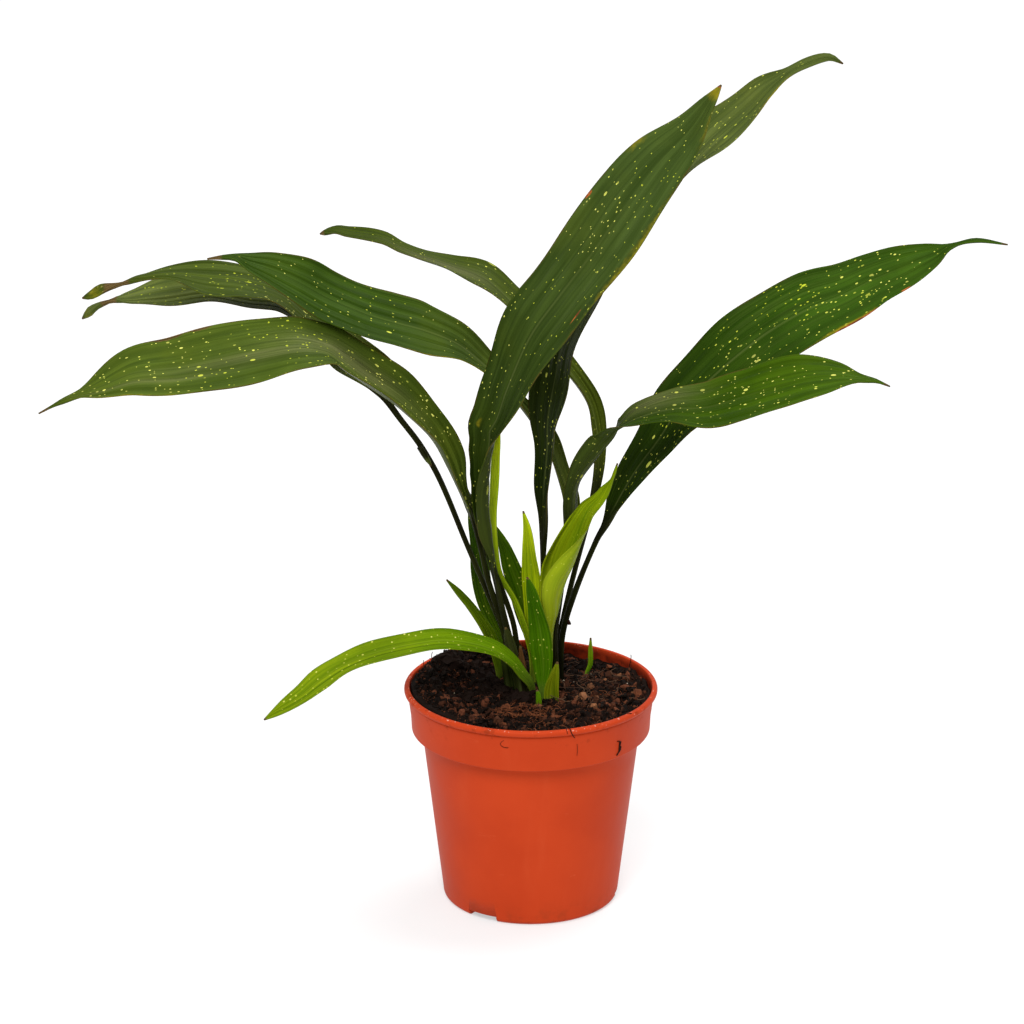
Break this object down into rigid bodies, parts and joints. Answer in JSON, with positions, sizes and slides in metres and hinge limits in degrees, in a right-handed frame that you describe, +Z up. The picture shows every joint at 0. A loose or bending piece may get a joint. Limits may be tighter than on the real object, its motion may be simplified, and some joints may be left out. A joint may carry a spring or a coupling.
{
  "type": "potted cast iron plant",
  "caption": "House plant with long arching dark green leaves, pale speckled, and bright young shoots, growing in soil in a plain round terracotta-coloured nursery pot with drain slots.",
  "frame": {"origin": "centre of the pot's flat foot, on the surface that it stands on", "axes": "+Z up along the pot's axis, +X to the right and -Y towards the viewer of the pictured front"},
  "size_m": [0.4843, 0.1746, 0.4343],
  "materials": {
    "mature_leaf": "satin dark green with cream-yellow speckles",
    "young_leaf": "satin yellow green",
    "pot_plastic": "satin terracotta orange",
    "potting_soil": "rough dark crumbs of peat and bark"
  },
  "bodies": {
    "root": {"leaf_left_low": "mature_leaf", "leaf_left_middle": "mature_leaf", "leaf_left_back": "mature_leaf", "leaf_upper_left": "mature_leaf", "leaf_centre": "mature_leaf", "leaf_centre_back": "mature_leaf", "leaf_back_arching": "mature_leaf", "leaf_right_high": "mature_leaf", "leaf_right_low": "mature_leaf", "young_strip": "young_leaf", "young_left_broad": "young_leaf", "young_pale_middle": "young_leaf", "young_bright_right": "young_leaf", "young_middle": "young_leaf", "young_front": "young_leaf", "young_long_left": "young_leaf", "young_small_left": "young_leaf", "shoot_front": "young_leaf", "shoot_split": "young_leaf", "shoot_right": "young_leaf", "pot": "pot_plastic", "soil": "potting_soil"}
  },
  "joints": []
}
